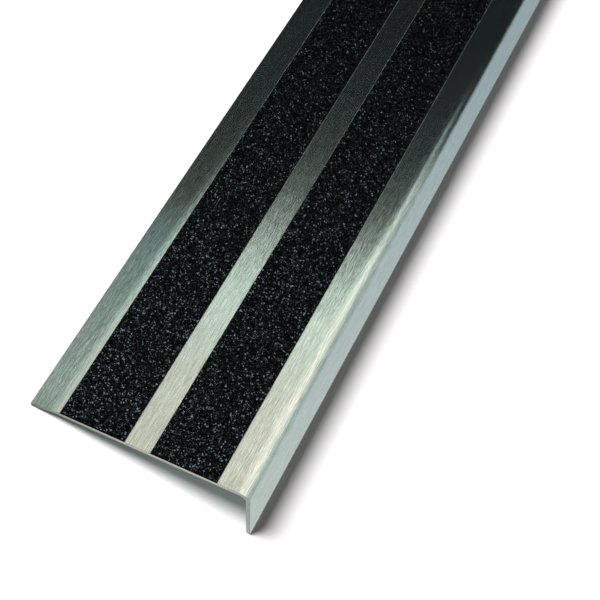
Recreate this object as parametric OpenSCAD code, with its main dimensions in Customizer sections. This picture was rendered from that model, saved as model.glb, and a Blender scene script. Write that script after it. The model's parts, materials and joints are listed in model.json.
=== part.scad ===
// Stair nosing: a folded steel profile with two full-length anti-slip grit strips on its tread.
// It stands as it rests on a level floor, on the underside of its back edge and the end of its lip.
// X runs across the profile towards the lip, Y along its length and Z up. All sizes are in millimetres.

/* [Stock] */
// Length of the profile and of its strips
profile_length = 600; // [150:10:3000]
// Thickness of the sheet that the profile is folded from
sheet_t = 1.5; // [0.8:0.1:3]

/* [Tread] */
// Flat land between the bent-down back edge and the back strip
back_land_w = 2.5; // [1:0.5:30]
// Bare steel between the two strips
middle_land_w = 9.5; // [2:0.5:60]
// Flat land between the front strip and the lip's bend
front_land_w = 8.5; // [2:0.5:40]

/* [Back edge] */
// Length of the bent-down back edge, measured down its slope
ramp_w = 8.2; // [4:0.1:30]
// How far the back edge is bent down
ramp_angle = 13; // [4:1:25]
// Inside radius of the back edge's bend
ramp_bend_r = 3; // [1:0.5:10]

/* [Lip] */
// Height of the lip, from the tread's top face to the lip's bottom
lip_h = 27.5; // [20:0.5:80]
// Inside radius of the lip's bend
lip_bend_r = 2; // [0.5:0.5:6]
// Rounding of the lip's two bottom corners
lip_corner_r = 1; // [0.3:0.1:4]

/* [Strips] */
// Width of each anti-slip strip
strip_w = 25; // [10:1:60]
// Thickness of each strip, from the steel to the tops of the grit
strip_t = 0.8; // [0.4:0.1:2]

/* [Hidden] */
$fn = 96;
// How far cutting shapes reach past the faces that they cut
overcut = 1;
steel_colour = [0.74, 0.76, 0.73];
grit_colour = [0.05, 0.05, 0.055];

// The section lies in a plane of its own, with the tread's top face at height 0
// and the tread beginning at 0, where the back edge's bend ends.
back_strip_x = back_land_w;
front_strip_x = back_strip_x + strip_w + middle_land_w;
tread_w = front_strip_x + strip_w + front_land_w;
ramp_outer_r = ramp_bend_r + sheet_t;
lip_outer_r = lip_bend_r + sheet_t;
lip_inner_x = tread_w + lip_bend_r;
lip_outer_x = tread_w + lip_outer_r;

// A point turned about the origin by an angle
function turned(p, angle) = [
    p.x * cos(angle) - p.y * sin(angle),
    p.x * sin(angle) + p.y * cos(angle)
];

// The section's end points that it rests on and that bound its width
ramp_centre = [0, -ramp_outer_r];
back_top = ramp_centre + turned([-ramp_w, ramp_outer_r], ramp_angle);
back_foot = ramp_centre + turned([-ramp_w, ramp_bend_r], ramp_angle);
lip_foot = [lip_inner_x, -lip_h];
lip_toe = [lip_outer_x, -lip_h];

// The tilt that brings both feet to the floor, and the shift that centres the width
rest_tilt = atan2(back_foot.y - lip_foot.y, lip_foot.x - back_foot.x);
rest_left = turned(back_top, rest_tilt).x;
rest_right = turned(lip_toe, rest_tilt).x;
rest_floor = turned(lip_foot, rest_tilt).y;

// Turns a flat outline into a bar along Y, centred on the profile's middle
module along_length() {
    rotate([90, 0, 0])
        linear_extrude(height = profile_length, center = true)
            children();
}

// Sets what is drawn in the section's plane down on the floor as it rests
module at_rest() {
    translate([-(rest_left + rest_right) / 2, 0, -rest_floor])
        rotate([0, -rest_tilt, 0])
            children();
}

// The section of one bend of the sheet, about its centre, from the upright anticlockwise
module bend_section(inner_r, angle) {
    reach = 2 * (inner_r + sheet_t);
    intersection() {
        difference() {
            circle(r = inner_r + sheet_t);
            circle(r = inner_r);
        }
        polygon([
            [0, 0],
            turned([0, reach], 0),
            turned([0, reach], angle / 2),
            turned([0, reach], angle)
        ]);
    }
}

module tread_section() {
    translate([0, -sheet_t])
        square([tread_w, sheet_t]);
}

module ramp_section() {
    translate(ramp_centre) {
        bend_section(ramp_bend_r, ramp_angle);
        rotate(ramp_angle)
            translate([-ramp_w, ramp_bend_r])
                square([ramp_w, sheet_t]);
    }
}

module lip_section() {
    translate([tread_w, -lip_outer_r])
        rotate(-90)
            bend_section(lip_bend_r, 90);
    translate([lip_inner_x, -lip_h])
        square([sheet_t, lip_h - lip_outer_r]);
}

// What is cut from one bottom corner of the lip to leave it round
module lip_corner_cut() {
    translate([lip_inner_x - overcut, profile_length / 2 - lip_corner_r, -lip_h + lip_corner_r])
        rotate([0, 90, 0])
            linear_extrude(height = sheet_t + 2 * overcut)
                difference() {
                    square(lip_corner_r + overcut);
                    circle(r = lip_corner_r);
                }
}

// A strip lies flat on the tread, flush with both of the profile's cut ends
module grit_strip(x) {
    color(grit_colour)
        at_rest()
            along_length()
                translate([x, 0])
                    square([strip_w, strip_t]);
}

module nosing_profile() {
    color(steel_colour)
        at_rest()
            difference() {
                along_length() {
                    tread_section();
                    ramp_section();
                    lip_section();
                }
                lip_corner_cut();
                mirror([0, 1, 0])
                    lip_corner_cut();
            }
}

module grit_strip_back() {
    grit_strip(back_strip_x);
}

module grit_strip_front() {
    grit_strip(front_strip_x);
}

nosing_profile();
grit_strip_back();
grit_strip_front();
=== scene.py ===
# A folded steel stair nosing with two anti-slip strips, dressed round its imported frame
import json
import math

import bpy
import numpy as np
from bpy.props import FloatProperty
from bpy.props import FloatVectorProperty
from bpy.props import IntProperty
from bpy.props import PointerProperty
from bpy.types import Operator
from bpy.types import Panel
from bpy.types import PropertyGroup
from mathutils import Matrix
from mathutils import Vector

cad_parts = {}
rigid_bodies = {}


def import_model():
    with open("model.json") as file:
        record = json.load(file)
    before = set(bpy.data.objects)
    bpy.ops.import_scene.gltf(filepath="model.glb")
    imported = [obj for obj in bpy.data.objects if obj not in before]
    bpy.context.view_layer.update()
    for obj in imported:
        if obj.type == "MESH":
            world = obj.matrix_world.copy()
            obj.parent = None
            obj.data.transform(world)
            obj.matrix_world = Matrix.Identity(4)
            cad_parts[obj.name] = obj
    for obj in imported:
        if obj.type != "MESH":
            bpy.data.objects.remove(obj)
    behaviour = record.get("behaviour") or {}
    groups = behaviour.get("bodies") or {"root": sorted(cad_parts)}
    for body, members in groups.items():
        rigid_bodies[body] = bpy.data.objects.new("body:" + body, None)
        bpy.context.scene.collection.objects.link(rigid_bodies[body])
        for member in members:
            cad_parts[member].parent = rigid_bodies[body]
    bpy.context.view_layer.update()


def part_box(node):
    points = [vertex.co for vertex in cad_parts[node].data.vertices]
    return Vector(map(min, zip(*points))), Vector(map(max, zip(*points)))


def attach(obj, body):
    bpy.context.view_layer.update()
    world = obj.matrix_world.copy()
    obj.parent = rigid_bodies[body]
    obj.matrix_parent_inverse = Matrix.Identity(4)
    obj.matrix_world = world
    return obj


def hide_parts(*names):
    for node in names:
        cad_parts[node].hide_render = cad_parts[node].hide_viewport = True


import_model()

bl_info = {
    "name": "Anti-slip stair nosing",
    "version": (1, 0, 0),
    "blender": (4, 5, 0),
    "location": "View3D > Sidebar > Nosing",
    "description": "Folded steel stair nosing with two grit strips, on a plain studio floor",
    "category": "Mesh",
}

MM = 0.001
# The map that carries the brushing's direction across the sheet
BRUSH_MAP = "OFBake"
# Rows that a strip's length is folded into on its map
MAP_ROWS = 5
# A row of points this near to a bend, in metres, keeps the flat beside it flat
BESIDE_BEND = 0.0006
# Faces across the eased back fold, the tread and the land's lean, and along the sheet
EASE_FACES, TREAD_FACES, LEAN_FACES, RUN_FACES = 10, 12, 5, 12
# Places over a soft arris, as shares of its radius
ARRIS_STEPS = np.array([0.0, 0.12, 0.35, 0.65, 1.0])
LOW_CORNER, HIGH_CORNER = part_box("nosing_profile")
PACKED_LENGTH = HIGH_CORNER.y - LOW_CORNER.y


def length(name, description, default_mm):
    """A length property, given in millimetres and kept in metres"""
    return FloatProperty(
        name=name,
        description=description,
        default=default_mm * MM,
        min=0.0,
        subtype="DISTANCE",
        unit="LENGTH",
        precision=5,
    )


def share(name, description, default):
    """A property that runs from nothing to all"""
    return FloatProperty(
        name=name,
        description=description,
        default=default,
        min=0.0,
        max=1.0,
        subtype="FACTOR",
    )


def colour(name, description, default, most=1.0):
    """A colour property, whose parts may pass one where it is light"""
    return FloatVectorProperty(
        name=name,
        description=description,
        default=default,
        size=3,
        min=0.0,
        max=most,
        subtype="COLOR",
    )


def angle(name, description, degrees):
    """An angle property, given in degrees"""
    return FloatProperty(
        name=name,
        description=description,
        default=math.radians(degrees),
        subtype="ANGLE",
        unit="ROTATION",
    )


def strength(name, description, default):
    """The strength of a light"""
    return FloatProperty(name=name, description=description, default=default, min=0.0)


def point(name, description, default):
    """A place in the scene, in metres"""
    return FloatVectorProperty(
        name=name,
        description=description,
        default=default,
        subtype="TRANSLATION",
        unit="LENGTH",
    )


class NosingSheet(PropertyGroup):
    """Sizes and finish of the folded steel sheet"""

    run: FloatProperty(
        name="Length",
        description="Length of the profile along its fold lines",
        default=PACKED_LENGTH,
        min=0.01,
        subtype="DISTANCE",
        unit="LENGTH",
    )
    thickness: length("Thickness", "Thickness of the steel sheet", 1.5)
    back_land: length("Back land", "Flat land behind the back strip", 2.5)
    middle_land: length("Middle land", "Bare steel between the strips", 9.5)
    front_land: length("Front land", "Flat land before the lip's bend", 8.5)
    back_edge: length("Back edge", "Width of the bent-down back edge", 8.2)
    back_bend: length("Back bend", "Inside radius of the back edge's bend", 3.0)
    back_angle: angle("Back angle", "How far the back edge is bent down", 13.0)
    back_ease: length("Back ease", "Inside radius of the bend that eases the back fold", 15.0)
    fold_place: length("Fold place", "How far over the land the eased back fold is centred", 0.5)
    lip_height: length("Lip height", "From the tread's top to the lip's foot", 27.5)
    lip_bend: length("Lip bend", "Inside radius of the lip's bend", 2.0)
    lip_lead: length("Lip lead", "Part of the land that leans before the lip's bend", 1.8)
    lead_angle: angle("Lead angle", "How far the land has leaned where the lip's bend begins", 6.5)
    lip_corner: length("Lip corner", "Rounding of the lip's bottom corners", 1.0)
    arris: length("Arris", "Softening of the sheet's cut edges", 0.05)
    bend_steps: IntProperty(
        name="Bend steps",
        description="Faces round the lip's bend",
        default=28,
        min=4,
        max=96,
    )
    steel: colour("Steel", "Colour of the brushed steel", (0.60, 0.69, 0.66))
    roughness: share("Roughness", "Overall roughness of the brushing", 0.20)
    stretch: share("Stretch", "How far the brushing stretches reflections", 1.0)
    scratch: share("Scratch depth", "Sideways slope of the finest scratches", 0.10)
    cut_tone: colour("Cut steel", "Colour of the sheared edges", (0.62, 0.61, 0.54))


class NosingStrips(PropertyGroup):
    """Sizes and colours of the strips' film and resin bed"""

    width: length("Width", "Width of each strip", 25.0)
    thickness: length("Thickness", "From the steel to the tops of the grit", 0.8)
    film: length("Film", "Thickness of the carrier film", 0.15)
    margin: length("Margin", "Film left bare along each long edge", 0.16)
    bed: length("Bed", "Height of the resin bed over the film", 0.12)
    bed_swell: length("Swell", "How far the resin bed rises and falls", 0.05)
    cell: length("Cell", "Spacing of the bed's points", 0.62)
    film_colour: colour("Film colour", "Pale carrier film", (0.15, 0.18, 0.165))
    resin_colour: colour("Resin colour", "Black resin between grains", (0.0006, 0.0006, 0.0008))


class NosingGrit(PropertyGroup):
    """Sizes, spread and colours of the mineral grit"""

    grain_pitch: length("Grain pitch", "Spacing of the coarse grains", 0.56)
    grain_small: length("Smallest grain", "Radius of the smallest coarse grain", 0.30)
    grain_large: length("Largest grain", "Radius of the largest coarse grain", 0.50)
    fine_pitch: length("Fine pitch", "Spacing of the fine grit", 0.56)
    fine_small: length("Smallest fine", "Radius of the smallest fine grain", 0.20)
    fine_large: length("Largest fine", "Radius of the largest fine grain", 0.34)
    grain_dark: colour("Dark grains", "Darkest coated grains", (0.0003, 0.0003, 0.0004))
    grain_pale: colour("Pale grains", "Palest coated grains", (0.0012, 0.0014, 0.0018))
    gloss: share("Gloss", "Strength of the coarse grains' glints", 0.34)
    fine_gloss: share("Fine gloss", "Strength of the fine grit's glints", 0.12)
    seed: IntProperty(name="Seed", description="Seed of the scatter", default=11)


class NosingStage(PropertyGroup):
    """Floor, camera and studio light"""

    floor_side: length("Floor side", "Side of the square floor", 9000.0)
    floor_colour: colour("Floor colour", "Pale matte floor", (0.917, 0.902, 0.905))
    # Painted reflection of the floor: how bright it looks in the steel, and with what tint
    floor_near: share("Floor near", "Light that the steel sees in the floor beside its near end", 0.77)
    floor_far: share("Floor far", "Light that the steel sees in the floor beside its middle", 0.55)
    floor_left: share("Floor left", "Light that the steel sees in the floor on its left", 0.18)
    floor_fade: length("Floor fade", "Way along the part from the near light to the far one", 240.0)
    near_tint: colour("Near tint", "Tint of the floor in the steel, near", (1.0, 1.03, 1.0), 2.0)
    far_tint: colour("Far tint", "Tint of the floor in the steel, far", (0.86, 1.0, 1.09), 2.0)
    end_tint: colour("End tint", "Tint of the floor in the cut end", (0.83, 0.85, 0.85))
    lip_tint: colour("Lip tint", "Tint of the floor in the lip's cut end", (0.48, 0.57, 0.62))
    camera_place: point("Camera", "Where the camera stands", (0.00468, -0.49423, 0.46852))
    camera_aim: point("Aim", "The point that the camera looks at", (0.017503, -0.222219, 0.021423))
    camera_roll: angle("Roll", "Turn of the camera about its own axis", 33.256)
    lens: FloatProperty(
        name="Lens",
        description="Focal length in millimetres",
        default=88.348,
        min=1.0,
        unit="CAMERA",
    )
    key_strength: strength("Key light", "Light of the key light on a surface that faces it", 4.2)
    key_size: angle("Key size", "Angle that the key light spans", 19.0)
    key_lean: angle("Key lean", "Lean of the key light from straight above, to the left", 30.9)
    key_front: angle("Key front", "Lean of the key light towards the camera", 10.4)
    near_light: strength("Near light", "Radiance of the soft light beside the near end", 13.0)
    near_colour: colour("Near light colour", "Colour of that soft light", (0.71, 0.90, 1.0))
    near_size: length("Near light size", "Side of the soft light beside the near end", 200.0)
    near_reach: length("Near light reach", "Distance of that light from the near end", 200.0)
    fill_light: strength("Fill light", "Radiance of the faint light straight above", 0.14)
    fill_colour: colour("Fill colour", "Colour of that faint light", (1.0, 0.66, 0.74))
    arch: length("Arch", "Distance of the light panels from the middle of the part", 1300.0)
    wide_light: colour("Wide panel", "Radiance of the wide panel over the tread", (0.58, 0.45, 0.35))
    wide_far_light: colour("Wide panel, far", "Radiance of its far part", (0.70, 0.74, 0.63))
    fade_light: colour("Fade panel", "Radiance added where the tread begins to fade", (0.42, 0.48, 0.45))
    bend_light: colour("Bend panel", "Radiance of the panel over the lip's bend", (1.14, 1.05, 0.95), 4.0)
    bend_far_light: colour("Bend panel, far", "Radiance of its far part", (0.43, 0.51, 0.50))
    bend_near_light: colour("Bend panel, near", "Radiance added beside its near part", (0.20, 0.19, 0.15))
    left_light: colour("Left panel", "Radiance of the panel that the back edge shows", (0.19, 0.28, 0.28))
    side_light: colour("Side panel", "Radiance of the dim panel at the lip's side", (0.49, 0.55, 0.53))
    other_light: colour("Other sides", "Radiance of the lights for the other sides", (0.42, 0.44, 0.43))
    wall_side: length("Upright light side", "Side of the upright lights at both ends", 2400.0)
    wall_reach: length("Upright light reach", "Distance of those lights from the part's middle", 3200.0)
    wall_rise: length("Upright light rise", "Height of their middles", 900.0)
    room: colour("Room", "Radiance of the dark room round the stage", (0.0150, 0.0180, 0.0185))


def rest_place(sheet):
    """The tilt and the shift that bring the fold's section to rest on its two feet"""
    outer = sheet.back_bend + sheet.thickness
    lip_inner_x = tread_width(sheet) + sheet.lip_bend
    lip_outer_x = lip_inner_x + sheet.thickness
    centre = np.array([0.0, -outer])
    back_top = centre + turned([-sheet.back_edge, outer], sheet.back_angle)
    back_foot = centre + turned([-sheet.back_edge, sheet.back_bend], sheet.back_angle)
    foot = np.array([lip_inner_x, -sheet.lip_height])
    toe = np.array([lip_outer_x, -sheet.lip_height])
    tilt = math.atan2(back_foot[1] - foot[1], foot[0] - back_foot[0])
    middle = (turned(back_top, tilt)[0] + turned(toe, tilt)[0]) / 2
    return tilt, np.array([-middle, -turned(foot, tilt)[1]])


def turned(points, angle):
    """Points of the section turned anticlockwise about its origin"""
    points = np.asarray(points, float)
    c, s = math.cos(angle), math.sin(angle)
    return np.stack([points[..., 0] * c - points[..., 1] * s,
                     points[..., 0] * s + points[..., 1] * c], axis=-1)


def tread_width(sheet):
    """Width of the flat tread, from the back edge's bend to the lip's bend"""
    strips = bpy.context.scene.nosing_strips
    return sheet.back_land + sheet.middle_land + sheet.front_land + 2 * strips.width


def at_rest(across, along, up):
    """Section coordinates and a place along the length, as points of the resting part"""
    tilt, shift = rest_place(bpy.context.scene.nosing_sheet)
    section = turned(np.stack([across, up], axis=-1), tilt) + shift
    return np.stack([section[..., 0], np.broadcast_to(along, across.shape), section[..., 1]], axis=-1)


def make_mesh(name, points, faces, materials, replaced=()):
    """A mesh object that rides on the body and takes its finish from the slot"""
    mesh = bpy.data.meshes.new(name)
    mesh.from_pydata(points.tolist(), [], faces)
    mesh.validate()
    for material in materials:
        mesh.materials.append(material)
    piece = bpy.data.objects.new(name, mesh)
    bpy.context.scene.collection.objects.link(piece)
    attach(piece, "root")
    if replaced:
        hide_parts(*replaced)
    return piece


def fold_line(sheet, back_in, foot_in):
    """Middle line of the sheet from its back edge to its lip's foot, with normals and half thicknesses

    The back edge ends short by the first inset, and the lip's foot by the second.
    """
    half = sheet.thickness / 2
    back_r = sheet.back_bend + half
    lip_r = sheet.lip_bend + half
    wide = tread_width(sheet)
    # Places over the soft arris at either cut end
    arris = sheet.arris * ARRIS_STEPS
    shy = sheet.arris - np.sqrt(sheet.arris ** 2 - (sheet.arris - arris) ** 2)

    # The soft fold lies a little over the land, so the back edge slopes less to the same end
    fold = np.array([sheet.fold_place, -half])
    end = turned([-sheet.back_edge, back_r], sheet.back_angle) - [0.0, back_r + half]
    slope = math.atan2(fold[1] - end[1], fold[0] - end[0])
    ease_r = sheet.back_ease + half
    ease = ease_r * math.tan(slope / 2)
    ramp = np.linalg.norm(end - fold) - back_in
    ramp_s = np.concatenate([ramp - arris, [ramp / 2, ease + BESIDE_BEND, ease]])
    ramp_p = turned(np.stack([-ramp_s, np.zeros_like(ramp_s)], axis=-1), slope) + fold
    ramp_n = turned(np.tile([0.0, 1.0], (len(ramp_s), 1)), slope)
    ramp_h = np.concatenate([half - shy, [half] * 3])

    turn = slope * np.linspace(1.0, 0.0, EASE_FACES + 1)[1:]
    bend_n = np.stack([-np.sin(turn), np.cos(turn)], axis=-1)
    land = sheet.fold_place + ease
    bend_p = bend_n * ease_r + [land, -ease_r - half]

    # The land leans a little before the lip's bend, along an arc that ends where the bend begins
    lead, lean = sheet.lip_lead, sheet.lead_angle
    lead_r = lead / math.sin(lean)
    flat = wide - lead
    tread_x = np.concatenate([
        [land + BESIDE_BEND],
        np.linspace(land, flat, TREAD_FACES + 1)[1:-1],
        [flat - BESIDE_BEND, flat],
    ])
    tread_p = np.stack([tread_x, np.full_like(tread_x, -half)], axis=-1)
    tread_n = np.tile([0.0, 1.0], (len(tread_x), 1))

    turn = lean * np.linspace(0.0, 1.0, LEAN_FACES + 1)[1:]
    lead_n = np.stack([np.sin(turn), np.cos(turn)], axis=-1)
    lead_p = lead_n * lead_r + [flat, -lead_r - half]
    bend_r = lip_r / (1 - math.sin(lean))
    top = half + lead_r * (1 - math.cos(lean)) + bend_r * math.cos(lean)
    turn = lean + (math.pi / 2 - lean) * np.linspace(0.0, 1.0, sheet.bend_steps + 1)[1:]
    lip_bend_n = np.stack([np.sin(turn), np.cos(turn)], axis=-1)
    lip_bend_p = lip_bend_n * bend_r + [wide - bend_r * math.sin(lean), -top]

    foot = sheet.lip_height - foot_in
    lip_z = np.concatenate([[top + BESIDE_BEND, (top + foot) / 2], (foot - arris)[::-1]])
    lip_p = np.stack([np.full_like(lip_z, wide + lip_r), -lip_z], axis=-1)
    lip_n = np.tile([1.0, 0.0], (len(lip_z), 1))
    lip_h = np.concatenate([[half] * 2, (half - shy)[::-1]])

    line = np.concatenate([ramp_p, bend_p, tread_p, lead_p, lip_bend_p, lip_p])
    normal = np.concatenate([ramp_n, bend_n, tread_n, lead_n, lip_bend_n, lip_n])
    plain = len(line) - len(ramp_h) - len(lip_h)
    halves = np.concatenate([ramp_h, np.full(plain, half), lip_h])
    return line, normal, halves


def end_stations(sheet):
    """Distances from a cut end, with the inset of the arris and the rise of the lip's corner at each"""
    r, corner = sheet.arris, sheet.lip_corner
    turn = np.radians([0, 15, 30, 45, 60, 75, 90])
    near = np.unique(np.round(np.concatenate([
        r * ARRIS_STEPS,
        corner * (1 - np.cos(turn)),
        [corner * 2],
    ]), 8))
    inset = r - np.sqrt(np.maximum(r ** 2 - np.maximum(r - near, 0.0) ** 2, 0.0))
    rise = corner - np.sqrt(np.maximum(corner ** 2 - np.maximum(corner - near, 0.0) ** 2, 0.0))
    return near, inset, rise


def build_sheet(sheet):
    """The folded sheet as rings swept along its length, and closed at both cut ends"""
    near, inset, rise = end_stations(sheet)
    half_run = sheet.run / 2
    middle = np.linspace(-half_run, half_run, RUN_FACES + 1)[1:-1]
    along = np.concatenate([-half_run + near, middle, (half_run - near)[::-1]])
    inset = np.concatenate([inset, np.zeros(len(middle)), inset[::-1]])
    rise = np.concatenate([rise, np.zeros(len(middle)), rise[::-1]])

    rings = []
    for y, ring_inset, ring_rise in zip(along, inset, rise):
        line, normal, halves = fold_line(sheet, ring_inset, ring_inset + ring_rise)
        halves = (halves - ring_inset)[:, None]
        loop = np.concatenate([line + normal * halves, (line - normal * halves)[::-1]])
        rings.append(at_rest(loop[:, 0], y, loop[:, 1]))
    rings = np.array(rings)
    stations, count = rings.shape[:2]

    # On the map each half of the length fills one half, with u round the section and v along it,
    # and the cut ends lie in a narrow band below
    faces, spots = [], []
    plain_ring = rings[stations // 2]
    widths = np.linalg.norm(np.diff(plain_ring, axis=0, append=plain_ring[:1]), axis=1)
    girth = np.concatenate([[0.0], np.cumsum(widths)])
    girth /= girth[-1]
    for i in range(stations - 1):
        side = 0.5 * (along[i] + along[i + 1] > 0)
        low, high = ((along[k] + half_run) % (half_run + 1e-9) / half_run for k in (i, i + 1))
        high = 1.0 if high < low else high
        for j in range(count):
            k = (j + 1) % count
            faces.append((i * count + j, i * count + k, (i + 1) * count + k, (i + 1) * count + j))
            for u, v in ((j, low), (j + 1, low), (j + 1, high), (j, high)):
                spots.append((side + 0.49 * girth[u], 0.05 + 0.94 * v))
    body_faces = len(faces)
    for end, start in ((0, 0), (1, (stations - 1) * count)):
        for j in range(count // 2 - 1):
            a, b = start + j, start + j + 1
            c, d = start + count - 2 - j, start + count - 1 - j
            face = (a, d, c, b) if end == 0 else (a, b, c, d)
            faces.append(face)
            for corner in face:
                j_on = min(corner - start, count - 1 - (corner - start))
                spots.append((0.5 * end + 0.9 * girth[j_on], 0.01 + 0.01 * (corner - start >= count // 2)))

    steels = [brushed_steel(sheet), cut_steel(sheet), worn_arris(sheet)]
    piece = make_mesh("nosing_sheet", rings.reshape(-1, 3), faces, steels, ["nosing_profile"])
    mesh = piece.data
    uv_map = mesh.uv_layers.new(name=BRUSH_MAP)
    uv_map.data.foreach_set("uv", np.array(spots, np.float32).ravel())
    brushed, sheared, shaded_edge = range(len(steels))
    finish = np.full(len(faces), brushed, np.int32)
    finish[body_faces:] = sheared
    # The narrow strips of face at the foot of the lip and at the back edge are cut edges too
    ring_of = np.arange(body_faces) % count
    finish[:body_faces][(ring_of == count // 2 - 1) | (ring_of == count - 1)] = sheared
    station_of = np.arange(body_faces) // count
    # The rows of the soft arris at both cut ends take the painted shade of the darker arris steel
    arris_steps = int(np.count_nonzero(near < sheet.arris - 1e-7))
    finish[:body_faces][(station_of < arris_steps) | (station_of >= stations - 1 - arris_steps)] = shaded_edge
    mesh.polygons.foreach_set("material_index", finish)
    mesh.shade_smooth()
    weighted = piece.modifiers.new("Flat faces stay flat", "WEIGHTED_NORMAL")
    weighted.mode = "FACE_AREA"
    weighted.weight = 100
    return piece


class MaterialMaker:
    """Builds a node material round one Principled shader"""

    def __init__(self, name):
        self.material = bpy.data.materials.new(name)
        self.material.use_nodes = True
        self.tree = self.material.node_tree
        self.shader = self.tree.nodes["Principled BSDF"]
        self.place = self.add("ShaderNodeTexCoord").outputs["Object"]

    def add(self, kind, settings=None, **inputs):
        """Adds a node, with its settings and its inputs, each a value or another node's output"""
        made = self.tree.nodes.new(kind)
        for key, value in (settings or {}).items():
            setattr(made, key, value)
        for key, value in inputs.items():
            self.feed(made.inputs[key.replace("_", " ")], value)
        return made

    def feed(self, socket, value):
        """Sets an input to a value, or links another node's output to it"""
        if isinstance(value, bpy.types.NodeSocket):
            self.tree.links.new(value, socket)
        else:
            socket.default_value = value

    def noise(self, scale, detail=2.0, roughness=0.5, stretch=(1.0, 1.0, 1.0)):
        """Noise over the object, stretched along the axes"""
        place = self.add("ShaderNodeMapping", Vector=self.place, Scale=stretch).outputs["Vector"]
        return self.add("ShaderNodeTexNoise", Vector=place, Scale=scale, Detail=detail,
                        Roughness=roughness).outputs["Fac"]

    def between(self, factor, low, high, dark=0.3, light=0.7):
        """A number that runs from low to high as the factor runs from dark to light"""
        return self.add("ShaderNodeMapRange", Value=factor, From_Min=dark, From_Max=light,
                        To_Min=low, To_Max=high).outputs["Result"]

    def total(self, first, second):
        """The sum of two nodes' outputs"""
        made = self.add("ShaderNodeMath", {"operation": "ADD"})
        self.tree.links.new(first, made.inputs[0])
        self.tree.links.new(second, made.inputs[1])
        return made.outputs[0]

    def mixed(self, factor, low, high):
        """A number between two, each a value or another node's output"""
        made = self.add("ShaderNodeMix", {"data_type": "FLOAT"})
        for number, value in ((0, factor), (2, low), (3, high)):
            self.feed(made.inputs[number], value)
        return made.outputs[0]

    def blend(self, factor, first, second):
        """A colour between two"""
        made = self.add("ShaderNodeMix", {"data_type": "RGBA"})
        self.feed(made.inputs[0], factor)
        for number, value in ((6, first), (7, second)):
            is_output = isinstance(value, bpy.types.NodeSocket)
            self.feed(made.inputs[number], value if is_output else (*value, 1.0))
        return made.outputs[2]

    def finish(self, links, **values):
        """Sets the shader's own sockets and links the patterned ones"""
        for key, value in values.items():
            self.shader.inputs[key.replace("_", " ")].default_value = value
        for key, socket in links.items():
            self.tree.links.new(socket, self.shader.inputs[key])
        return self.material


def shaded(tone, amount):
    """A colour made darker or paler"""
    return tuple(min(1.0, part * amount) for part in tone)


def brushed_steel(sheet):
    """Steel brushed along its length, with fine streaks and faint clouds"""
    make = MaterialMaker("brushed_steel")
    # Streaks to a metre along each axis
    fine_streaks = (3000.0, 150.0, 3000.0)
    long_streaks = (900.0, 30.0, 900.0)
    finest_scratches = (12000.0, 400.0, 12000.0)
    fine = make.noise(1.0, detail=2.0, roughness=0.6, stretch=fine_streaks)
    long = make.noise(1.0, detail=1.0, stretch=long_streaks)
    scratch = make.noise(1.0, detail=1.0, stretch=finest_scratches)
    cloud = make.noise(70.0, detail=3.0, roughness=0.6)
    tone = tuple(sheet.steel)
    streaked = make.blend(make.between(fine, 0.0, 1.0), shaded(tone, 0.63), shaded(tone, 1.36))
    streaked = make.blend(make.between(long, 0.0, 0.5), streaked, shaded(tone, 0.94))
    clouded = make.blend(make.between(cloud, 0.0, 0.45), streaked, shaded(tone, 0.95))
    spread = make.between(fine, -0.004, 0.004)
    wide = make.between(cloud, sheet.roughness - 0.005, sheet.roughness + 0.005)
    # The scratches lean the surface to either side, never along the brushing
    tangent = make.add("ShaderNodeTangent", {"direction_type": "UV_MAP", "uv_map": BRUSH_MAP})
    lean = make.add("ShaderNodeVectorMath", {"operation": "SCALE"}, Vector=tangent.outputs["Tangent"],
                    Scale=make.between(scratch, -sheet.scratch, sheet.scratch))
    face = make.add("ShaderNodeNewGeometry").outputs["Normal"]
    leaned = make.add("ShaderNodeVectorMath", {"operation": "ADD"})
    make.tree.links.new(face, leaned.inputs[0])
    make.tree.links.new(lean.outputs[0], leaned.inputs[1])
    normal = make.add("ShaderNodeVectorMath", {"operation": "NORMALIZE"}, Vector=leaned.outputs[0])
    return make.finish(
        {
            "Base Color": clouded,
            "Roughness": make.total(spread, wide),
            "Normal": normal.outputs[0],
            "Tangent": tangent.outputs["Tangent"],
        },
        Metallic=1.0,
        Anisotropic=sheet.stretch,
    )


def cut_steel(sheet):
    """Sheared edges of the sheet, with fine marks through its thickness"""
    make = MaterialMaker("cut_steel")
    marks = make.noise(1.0, roughness=0.6, stretch=(3200.0, 3200.0, 260.0))
    tone = tuple(sheet.cut_tone)
    marked = make.blend(make.between(marks, 0.0, 1.0), shaded(tone, 0.80), shaded(tone, 1.12))
    bump = make.add("ShaderNodeBump", Strength=0.1, Distance=0.02 * MM, Height=marks)
    return make.finish(
        {
            "Base Color": marked,
            "Roughness": make.between(marks, 0.34, 0.50),
            "Normal": bump.outputs["Normal"],
        },
        Metallic=1.0,
    )


def worn_arris(sheet):
    """Rounded brink between the cut ends and the sheet's faces, duller than either, painted in shade as a
    darker copy of the cut steel
    """
    make = MaterialMaker("worn_arris")
    arris_mottle = make.noise(400.0)
    tone = tuple(sheet.cut_tone)
    return make.finish(
        {
            # Painted shade: the cut steel's tone at a quarter to a third of its brightness, which dims the
            # brink's glints
            "Base Color": make.blend(make.between(arris_mottle, 0.0, 1.0), shaded(tone, 0.22), shaded(tone, 0.32)),
            "Roughness": make.between(arris_mottle, 0.42, 0.52),
        },
        Metallic=1.0,
    )


def pale_film(strips):
    """Carrier film that shows as a thin pale line along the strips"""
    make = MaterialMaker("pale_film")
    patch = make.noise(900.0, roughness=0.6)
    tone = tuple(strips.film_colour)
    return make.finish(
        {
            "Base Color": make.blend(make.between(patch, 0.0, 1.0), shaded(tone, 0.15), shaded(tone, 1.6)),
            "Roughness": make.between(patch, 0.45, 0.65),
        },
        Metallic=0.0,
    )


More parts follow.
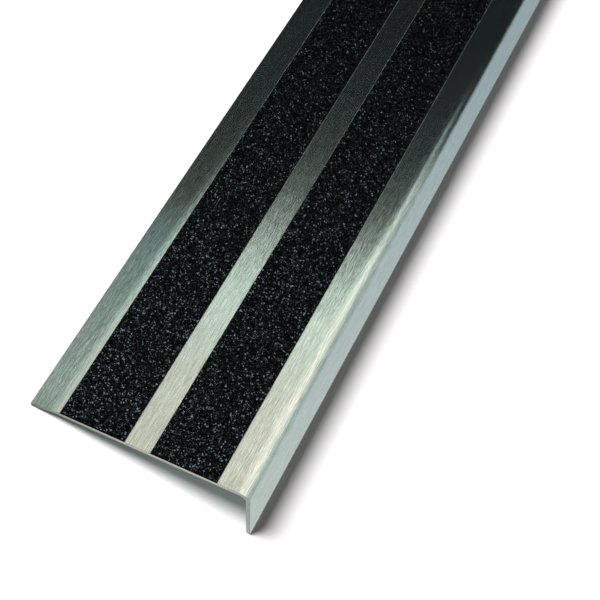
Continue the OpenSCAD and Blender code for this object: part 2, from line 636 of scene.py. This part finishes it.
def black_resin(strips):
    """Resin between the grains"""
    make = MaterialMaker("black_resin")
    patch = make.noise(1500.0, detail=3.0, roughness=0.6)
    tone = tuple(strips.resin_colour)
    bump = make.add("ShaderNodeBump", Strength=0.5, Distance=0.06 * MM, Height=patch)
    return make.finish(
        {
            "Base Color": make.blend(make.between(patch, 0.0, 1.0), shaded(tone, 0.6), shaded(tone, 1.6)),
            "Roughness": make.between(patch, 0.45, 0.65),
            "Normal": bump.outputs["Normal"],
        },
        Metallic=0.0,
        Specular_IOR_Level=0.02,
    )


def coated_grain(grit, name, gloss):
    """Mineral grains under their black coat, each of its own shade"""
    make = MaterialMaker(name)
    cells = make.add("ShaderNodeTexVoronoi", Vector=make.place, Scale=1400.0)
    shade = make.add("ShaderNodeSeparateColor", Color=cells.outputs["Color"])
    return make.finish(
        {
            "Base Color": make.blend(make.between(shade.outputs["Red"], 0.0, 1.0, 0.0, 1.0),
                                     tuple(grit.grain_dark), tuple(grit.grain_pale)),
            "Roughness": make.between(shade.outputs["Green"], 0.34, 0.48, 0.0, 1.0),
        },
        Metallic=0.0,
        Specular_IOR_Level=gloss,
    )


def smooth_noise(rows, columns, seed, passes):
    """Even noise on a grid, blurred into swells, from 0 to 1"""
    field = np.random.default_rng(seed).random((rows, columns))
    for _ in range(passes):
        padded = np.pad(field, 1, mode="edge")
        field = (padded[:-2, 1:-1] + padded[2:, 1:-1] + padded[1:-1, :-2] + padded[1:-1, 2:]
                 + 2 * padded[1:-1, 1:-1]) / 6
    field -= field.min()
    return field / field.max()


def strip_starts(sheet, strips):
    """Where each strip begins across the tread"""
    return (
        ("back", sheet.back_land),
        ("front", sheet.back_land + strips.width + sheet.middle_land),
    )


def bed_heights(sheet, strips, seed):
    """Points across and along a strip, and the resin bed's height over the steel at each"""
    columns = int(round((strips.width - 2 * strips.margin) / strips.cell)) + 1
    rows = int(round(sheet.run / strips.cell)) + 1
    across = np.linspace(strips.margin, strips.width - strips.margin, columns)
    along = np.linspace(-sheet.run / 2, sheet.run / 2, rows)
    swell = smooth_noise(rows, columns, seed, passes=2)
    low = strips.film + strips.bed - strips.bed_swell
    return across, along, low + 2 * strips.bed_swell * swell


def lay_strip(sheet, strips, name, start, seed):
    """One strip's film with its black resin bed on top, closed all round"""
    across, along, height = bed_heights(sheet, strips, seed)
    rng = np.random.default_rng(seed + 1)
    grid_x, grid_y = np.meshgrid(across, along)
    # The resin's long edges wander a little over the film
    wander = strips.margin * 0.75 * (rng.random((2, len(along))) - 0.5)
    grid_x[:, 0] += wander[0]
    grid_x[:, -1] += wander[1]
    jitter = strips.cell * 0.5 * (rng.random((2, *grid_x.shape)) - 0.5)
    grid_x[:, 1:-1] += jitter[0][:, 1:-1]
    grid_y[1:-1] += jitter[1][1:-1]
    rows, columns = grid_x.shape
    edge = np.full(rows, strips.film)
    # Each row runs from the film's foot, over its edge and the resin, to the other foot
    film_round = 0.02 * MM
    film_x = np.array([0.0, 0.0, film_round])
    film_z = np.array([0.0, strips.film - film_round, strips.film])
    # Each side of a row has the film's points and one at the resin's edge
    side = len(film_x) + 1
    left_x = np.tile(film_x, (rows, 1))
    right_x = strips.width - left_x[:, ::-1]
    side_z = np.tile(film_z, (rows, 1))
    full_x = np.concatenate([left_x, grid_x[:, :1], grid_x, grid_x[:, -1:], right_x], axis=1)
    full_z = np.concatenate([side_z, edge[:, None], height, edge[:, None], side_z[:, ::-1]], axis=1)
    straight = along[:, None]
    full_y = np.concatenate([np.tile(straight, (1, side)), grid_y, np.tile(straight, (1, side))], axis=1)
    count = full_x.shape[1]
    points = at_rest(start + full_x, full_y, full_z).reshape(-1, 3)

    i, j = np.meshgrid(np.arange(rows - 1), np.arange(count), indexing="ij")
    k = (j + 1) % count
    quads = np.stack([i * count + j, i * count + k, (i + 1) * count + k, (i + 1) * count + j], axis=-1)
    faces = quads.reshape(-1, 4).tolist()
    is_film = (j < side - 1) | (j >= count - side)
    material = is_film.ravel().astype(np.int32)
    # Each cut end is closed by a row of faces down to a line of points at the strip's foot
    lows, ends = [], []
    for row in (0, rows - 1):
        first = row * count
        foot = at_rest(start + full_x[row, side:-side], np.full(columns, along[row]), np.zeros(columns))
        base = len(points) + sum(len(low) for low in lows)
        lows.append(foot)
        for c in range(columns - 1):
            ends.append((first + side + c, first + side + c + 1, base + c + 1, base + c))
        left = (*range(first, first + side + 1), base)
        right = (base + columns - 1, *range(first + side + columns - 1, first + count))
        ends += [left, right]
        if row == 0:
            ends = [face[::-1] for face in ends]
    points = np.concatenate([points, *lows])
    piece = make_mesh("strip_bed_" + name, points, faces + ends,
                      [black_resin(strips), pale_film(strips)], ["grit_strip_" + name])
    mesh = piece.data
    material = np.concatenate([material, np.zeros(len(ends), np.int32)])
    mesh.polygons.foreach_set("material_index", material)
    mesh.shade_smooth()
    flat_x = np.concatenate([full_x.ravel(), full_x[0, side:-side], full_x[-1, side:-side]])
    flat_y = np.concatenate([full_y.ravel(), np.repeat(along[[0, -1]], columns)])
    set_map(mesh, flat_x, flat_y, strips.width, sheet.run)
    return piece


def set_map(mesh, across, along, width, run):
    """A map of a strip's faces, its length folded into rows and each face kept whole in one of them"""
    corners = np.empty(len(mesh.loops), np.int32)
    mesh.loops.foreach_get("vertex_index", corners)
    starts = np.empty(len(mesh.polygons), np.int32)
    mesh.polygons.foreach_get("loop_start", starts)
    sizes = np.diff(np.append(starts, len(corners)))
    middle = np.add.reduceat(along[corners], starts) / sizes
    row = np.floor(np.clip((middle + run / 2) / run, 0.0, 1.0 - 1e-7) * MAP_ROWS)
    row = np.repeat(row, sizes)
    # A bare border keeps the rows of the map apart
    side, end = 0.03, 0.01
    u = (row + side + (1 - 2 * side) * across[corners] / width) / MAP_ROWS
    v = end + (1 - 2 * end) * np.clip((along[corners] + run / 2) / run * MAP_ROWS - row, 0.0, 1.0)
    layer = mesh.uv_layers.new(name=BRUSH_MAP)
    layer.data.foreach_set("uv", np.stack([u, v], axis=-1).astype(np.float32).ravel())


def scatter(rng, width, run, pitch, edge):
    """Places on a shaken grid over a strip, kept off its edges"""
    columns = int((width - 2 * edge) / pitch)
    rows = int((run - 2 * edge) / pitch)
    x = np.linspace(edge, width - edge, columns)
    y = np.linspace(-run / 2 + edge, run / 2 - edge, rows)
    x, y = (part.ravel() for part in np.meshgrid(x, y))
    # Places leave the grid by up to half of this share of its spacing
    shake = 0.8
    x = x + pitch * (rng.random(len(x)) - 0.5) * shake
    y = y + pitch * (rng.random(len(y)) - 0.5) * shake
    return np.clip(x, edge, width - edge), np.clip(y, -run / 2 + edge, run / 2 - edge)


def grain_shape():
    """Corners and faces of one regular grain with four faces"""
    corners = np.array([(1, 1, 1), (1, -1, -1), (-1, 1, -1), (-1, -1, 1)], float)
    faces = [(0, 1, 2), (0, 3, 1), (0, 2, 3), (1, 3, 2)]
    return corners / math.sqrt(3), faces


def crushed(rng, corners, radius):
    """Many copies of a grain's corners, each pulled out of shape, turned any way and sized"""
    count = len(radius)
    # Corners reach 0.75 to 1.25 times as far, and are then moved aside a little
    pulled = corners * (0.75 + 0.5 * rng.random((count, len(corners), 1)))
    pulled = pulled + 0.35 * (rng.random(pulled.shape) - 0.5)
    turn = rng.normal(size=(count, 4))
    w, x, y, z = (turn / np.linalg.norm(turn, axis=1)[:, None]).T
    matrix = np.stack([
        1 - 2 * (y * y + z * z), 2 * (x * y - w * z), 2 * (x * z + w * y),
        2 * (x * y + w * z), 1 - 2 * (x * x + z * z), 2 * (y * z - w * x),
        2 * (x * z - w * y), 2 * (y * z + w * x), 1 - 2 * (x * x + y * y),
    ], axis=-1).reshape(count, 3, 3)
    return np.einsum("nij,nkj->nki", matrix, pulled) * radius[:, None, None]


def scatter_grains(sheet, strips, grit, name, start, seed, coarse):
    """One piece of many grains over a strip, coarse ones or the fine grit between them"""
    rng = np.random.default_rng(seed)
    pitch = grit.grain_pitch if coarse else grit.fine_pitch
    small = grit.grain_small if coarse else grit.fine_small
    large = grit.grain_large if coarse else grit.fine_large
    x, y = scatter(rng, strips.width, sheet.run, pitch, large * 1.15)
    # The power makes small grains more common than large ones
    radius = small + (large - small) * rng.random(len(x)) ** 1.4
    corners, one = grain_shape()
    points = crushed(rng, corners, radius)
    # Each grain stands in the resin and ends a little under the strip's full thickness
    resin = strips.film + strips.bed
    top = points[..., 2].max(axis=1)
    middle = resin + radius * (0.15 + 0.35 * rng.random(len(x)))
    highest = strips.thickness - top - 0.06 * MM * rng.random(len(x))
    points[..., 2] += np.minimum(middle, highest)[:, None]
    points[..., 2] = np.maximum(points[..., 2], strips.film * 0.5)
    points[..., 0] = np.clip(points[..., 0] + x[:, None], strips.margin, strips.width - strips.margin)
    points[..., 1] = np.clip(points[..., 1] + y[:, None], -sheet.run / 2, sheet.run / 2)
    each = len(corners)
    faces = []
    for first in range(0, len(x) * each, each):
        faces += [tuple(first + corner for corner in face) for face in one]
    flat = points.reshape(-1, 3)
    placed = at_rest(start + flat[:, 0], flat[:, 1], flat[:, 2])
    kind = "grains_" if coarse else "fine_grit_"
    gloss = grit.gloss if coarse else grit.fine_gloss
    coat = coated_grain(grit, "coated_" + kind + name, gloss)
    piece = make_mesh(kind + name, placed, faces, [coat])
    set_map(piece.data, flat[:, 0], flat[:, 1], strips.width, sheet.run)
    return piece


class NOSING_OT_fold_sheet(Operator):
    """Fold the brushed steel sheet"""

    bl_idname = "nosing.fold_sheet"
    bl_label = "Fold the sheet"

    def execute(self, context):
        build_sheet(context.scene.nosing_sheet)
        return {"FINISHED"}


class NOSING_OT_lay_strips(Operator):
    """Lay the film and resin bed of both strips"""

    bl_idname = "nosing.lay_strips"
    bl_label = "Lay the strips"

    def execute(self, context):
        sheet, strips = context.scene.nosing_sheet, context.scene.nosing_strips
        seed = context.scene.nosing_grit.seed
        for number, (name, start) in enumerate(strip_starts(sheet, strips)):
            lay_strip(sheet, strips, name, start, seed + 10 * number)
        return {"FINISHED"}


class NOSING_OT_scatter_grit(Operator):
    """Scatter coarse grains and fine grit over both strips"""

    bl_idname = "nosing.scatter_grit"
    bl_label = "Scatter the grit"

    def execute(self, context):
        scene = context.scene
        sheet, strips, grit = scene.nosing_sheet, scene.nosing_strips, scene.nosing_grit
        for number, (name, start) in enumerate(strip_starts(sheet, strips)):
            for coarse in (True, False):
                seed = grit.seed + 100 + 10 * number + coarse
                scatter_grains(sheet, strips, grit, name, start, seed, coarse)
        return {"FINISHED"}


def add_panel(name, arch, radiance, lean, spread, near, far, slant=0.0):
    """A light panel on an arch over the part, facing its middle line

    It leans to the right, spreads by an angle to either side, reaches along the part from near to
    far, as measured from the part's middle, and is slanted about its own middle. Angles are in
    degrees, and near and far are in millimetres.
    """
    lean, spread, slant = (math.radians(degrees) for degrees in (lean, spread, slant))
    across, along = 2 * arch * math.tan(spread), (far - near) * MM
    data = bpy.data.lights.new(name, "AREA")
    data.shape = "RECTANGLE"
    data.size, data.size_y = across, along
    strongest = max(radiance)
    data.energy = strongest * math.pi * across * along
    data.color = tuple(part / strongest for part in radiance)
    turn = Matrix.Rotation(lean, 4, "Y") @ Matrix.Rotation(slant, 4, "Z")
    place = Vector((arch * math.sin(lean), (near + far) / 2 * MM, arch * math.cos(lean)))
    light = bpy.data.objects.new(name, data)
    light.matrix_world = Matrix.Translation(place) @ turn
    bpy.context.scene.collection.objects.link(light)
    # The panels show in the steel and the grit, and leave the floor to the key light
    light.visible_diffuse = False
    light.visible_camera = False
    return light


def light_only(light, names):
    """Leave a light to the reflections of the pieces whose names begin in one of these ways"""
    lit = bpy.data.collections.new("lit_by_" + light.name)
    for piece in bpy.context.scene.objects:
        if piece.name.startswith(names):
            lit.objects.link(piece)
    light.light_linking.receiver_collection = lit
    light.visible_diffuse = False
    light.visible_camera = False


class NOSING_OT_set_stage(Operator):
    """Set the floor, the camera and the studio lights"""

    bl_idname = "nosing.set_stage"
    bl_label = "Set the stage"

    def execute(self, context):
        scene = context.scene
        stage = scene.nosing_stage
        self.lay_floor(scene, stage)
        self.place_camera(scene, stage)
        self.light_part(scene, stage)
        self.hang_panels(stage)
        self.light_other_sides(stage)
        self.darken_room(scene, stage)
        scene.view_settings.view_transform = "Standard"
        return {"FINISHED"}

    def lay_floor(self, scene, stage):
        """A pale matte floor, and a painted reflection: a plain glow that the steel sees in the floor's place
        """
        reach = stage.floor_side / 2
        mesh = bpy.data.meshes.new("studio_floor")
        corners = [(-reach, -reach, 0.0), (reach, -reach, 0.0), (reach, reach, 0.0), (-reach, reach, 0.0)]
        mesh.from_pydata(corners, [], [(0, 1, 2, 3)])
        make = MaterialMaker("matte_floor")
        tone = tuple(stage.floor_colour)
        patch = make.noise(3.0)
        plain = make.blend(make.between(patch, 0.0, 1.0), shaded(tone, 0.99), tone)
        # Painted reflection: for the steel the floor glows, brightest before the near end and dim on the left
        place = make.add("ShaderNodeSeparateXYZ", Vector=make.place)
        x, y = place.outputs["X"], place.outputs["Y"]
        near_y = LOW_CORNER.y
        far_y = near_y + stage.floor_fade
        along = make.between(y, stage.floor_near, stage.floor_far, near_y, far_y)
        ahead = make.between(y, 1.0, 0.0, near_y - 6 * MM, near_y)
        right = make.between(x, 0.0, 1.0, -30 * MM, 30 * MM)
        lit = make.mixed(right, stage.floor_left, along)
        lit = make.mixed(ahead, lit, 1.0)
        made = make.finish({"Base Color": plain}, Roughness=1.0, Specular_IOR_Level=0.0)
        far = make.between(y, 0.0, 1.0, near_y, far_y)
        beside = make.blend(far, stage.near_tint, stage.far_tint)
        # The painted reflection in the cut end is bluer and dimmer at the lip
        lip_side = make.between(x, 0.0, 1.0, 30 * MM, 38 * MM)
        before = make.blend(lip_side, stage.end_tint, stage.lip_tint)
        painted_reflection = make.add("ShaderNodeEmission", Color=make.blend(ahead, beside, before), Strength=lit)
        # Only glossy rays see the painted glow; all other rays see the matte floor
        seen = make.add("ShaderNodeLightPath").outputs["Is Glossy Ray"]
        mix = make.add("ShaderNodeMixShader")
        make.tree.links.new(seen, mix.inputs[0])
        make.tree.links.new(make.shader.outputs[0], mix.inputs[1])
        make.tree.links.new(painted_reflection.outputs[0], mix.inputs[2])
        make.tree.links.new(mix.outputs[0], make.tree.nodes["Material Output"].inputs["Surface"])
        mesh.materials.append(made)
        floor = bpy.data.objects.new("studio_floor", mesh)
        scene.collection.objects.link(floor)

    def place_camera(self, scene, stage):
        """The camera at the photograph's place, aim and roll"""
        data = bpy.data.cameras.new("studio_camera")
        data.lens = stage.lens
        data.sensor_width = 36.0
        camera = bpy.data.objects.new("studio_camera", data)
        place = Vector(stage.camera_place)
        look = (Vector(stage.camera_aim) - place).to_track_quat("-Z", "Y").to_matrix()
        turn = look @ Matrix.Rotation(stage.camera_roll, 3, "Z")
        camera.matrix_world = Matrix.Translation(place) @ turn.to_4x4()
        scene.collection.objects.link(camera)
        scene.camera = camera

    def add_soft(self, name, place, towards, side, radiance):
        """A square soft light, facing away from the direction that it lies in"""
        data = bpy.data.lights.new(name, "AREA")
        data.shape = "SQUARE"
        data.size = side
        data.energy = radiance * math.pi * side ** 2
        soft = bpy.data.objects.new(name, data)
        soft.matrix_world = Matrix.Translation(place) @ towards.to_track_quat("Z", "Y").to_matrix().to_4x4()
        bpy.context.scene.collection.objects.link(soft)
        return soft

    def light_part(self, scene, stage):
        """The key light for the floor, the near light for the grit and the faint fill"""
        towards = Vector((-math.tan(stage.key_lean), -math.tan(stage.key_front), 1.0)).normalized()
        data = bpy.data.lights.new("key_light", "SUN")
        data.energy = stage.key_strength
        data.angle = stage.key_size
        key = bpy.data.objects.new("key_light", data)
        key.rotation_euler = towards.to_track_quat("Z", "Y").to_euler()
        # The key light is for the floor, and the near light makes the glints
        key.visible_glossy = False
        scene.collection.objects.link(key)
        near_end = Vector((0.0, LOW_CORNER.y, 0.0))
        near = self.add_soft("near_light", near_end + towards * stage.near_reach, towards,
                             stage.near_size, stage.near_light)
        near.data.color = stage.near_colour
        # The near light is for the grit alone, so no view shows it in the steel
        light_only(near, ("grains_", "fine_grit_"))
        # The fill is faintly pink, against the green that the steel throws into the shadow
        fill = self.add_soft("fill_light", Vector((0.0, 0.0, stage.arch)), Vector((0.0, 0.0, 1.0)),
                             stage.arch, stage.fill_light)
        fill.data.color = stage.fill_colour
        fill.visible_glossy = False

    def hang_panels(self, stage):
        """The panels that the camera sees in the steel's tread, bend, back edge and lip"""
        arch = stage.arch
        tread = {"spread": 32.4, "slant": 18.2}
        add_panel("wide_panel", arch, stage.wide_light, lean=-23.3, near=104, far=493, **tread)
        add_panel("wide_far_panel", arch, stage.wide_far_light, lean=-27.1, near=480, far=640, **tread)
        add_panel("fade_panel", arch, stage.fade_light, lean=-21.8, spread=16.0, near=572, far=636,
                  slant=18.2)
        bend = {"spread": 30.0, "slant": 16.3}
        add_panel("bend_panel", arch, stage.bend_light, lean=9.7, near=104, far=717, **bend)
        add_panel("bend_far_panel", arch, stage.bend_far_light, lean=4.7, near=701, far=901, **bend)
        add_panel("bend_near_panel", arch, stage.bend_near_light, lean=28.6, spread=37.2, near=60, far=340,
                  slant=16.3)
        add_panel("left_panel", arch, stage.left_light, lean=-48.6, spread=18.9, near=100, far=580, slant=4.4)
        add_panel("side_panel", arch, stage.side_light, lean=61.9, spread=24.1, near=-600, far=868)

    def light_other_sides(self, stage):
        """Lights that the steel shows only to cameras at other sides of the part"""
        front = add_panel("front_panel", stage.arch, stage.other_light, lean=0.0, spread=51.6,
                          near=-2200, far=-350)
        light_only(front, "nosing_sheet")
        for name, y in (("near_wall", -stage.wall_reach), ("far_wall", stage.wall_reach)):
            wall = self.add_soft(name, Vector((0.0, y, stage.wall_rise)), Vector((0.0, y, 0.0)),
                                 stage.wall_side, max(stage.other_light))
            light_only(wall, "nosing_sheet")

    def darken_room(self, scene, stage):
        """A dark room for reflections, and plain white behind the floor for the camera"""
        world = bpy.data.worlds.new("studio_room")
        world.use_nodes = True
        nodes, links = world.node_tree.nodes, world.node_tree.links
        nodes["Background"].inputs["Color"].default_value = (*stage.room, 1.0)
        pale = nodes.new("ShaderNodeBackground")
        pale.inputs["Color"].default_value = (1.0, 1.0, 1.0, 1.0)
        seen = nodes.new("ShaderNodeLightPath")
        mix = nodes.new("ShaderNodeMixShader")
        links.new(seen.outputs["Is Camera Ray"], mix.inputs[0])
        links.new(nodes["Background"].outputs[0], mix.inputs[1])
        links.new(pale.outputs[0], mix.inputs[2])
        links.new(mix.outputs[0], nodes["World Output"].inputs["Surface"])
        scene.world = world


class NOSING_PT_maker(Panel):
    """Steps that make the stair nosing"""

    bl_label = "Stair nosing"
    bl_idname = "NOSING_PT_maker"
    bl_space_type = "VIEW_3D"
    bl_region_type = "UI"
    bl_category = "Nosing"

    def draw(self, context):
        for step in STEPS:
            self.layout.operator(step.bl_idname)


GROUPS = (
    ("nosing_sheet", NosingSheet),
    ("nosing_strips", NosingStrips),
    ("nosing_grit", NosingGrit),
    ("nosing_stage", NosingStage),
)
STEPS = (NOSING_OT_fold_sheet, NOSING_OT_lay_strips, NOSING_OT_scatter_grit, NOSING_OT_set_stage)


def register():
    """Register the groups, the steps and their panel"""
    for name, group in GROUPS:
        bpy.utils.register_class(group)
        setattr(bpy.types.Scene, name, PointerProperty(type=group))
    for step in STEPS:
        bpy.utils.register_class(step)
    bpy.utils.register_class(NOSING_PT_maker)


def unregister():
    """Take the panel, the steps and the groups away again"""
    bpy.utils.unregister_class(NOSING_PT_maker)
    for step in reversed(STEPS):
        bpy.utils.unregister_class(step)
    for name, group in reversed(GROUPS):
        delattr(bpy.types.Scene, name)
        bpy.utils.unregister_class(group)


def main():
    """Make the whole part and its stage"""
    register()
    bpy.ops.nosing.fold_sheet()
    bpy.ops.nosing.lay_strips()
    bpy.ops.nosing.scatter_grit()
    bpy.ops.nosing.set_stage()


if __name__ == "__main__":
    main()
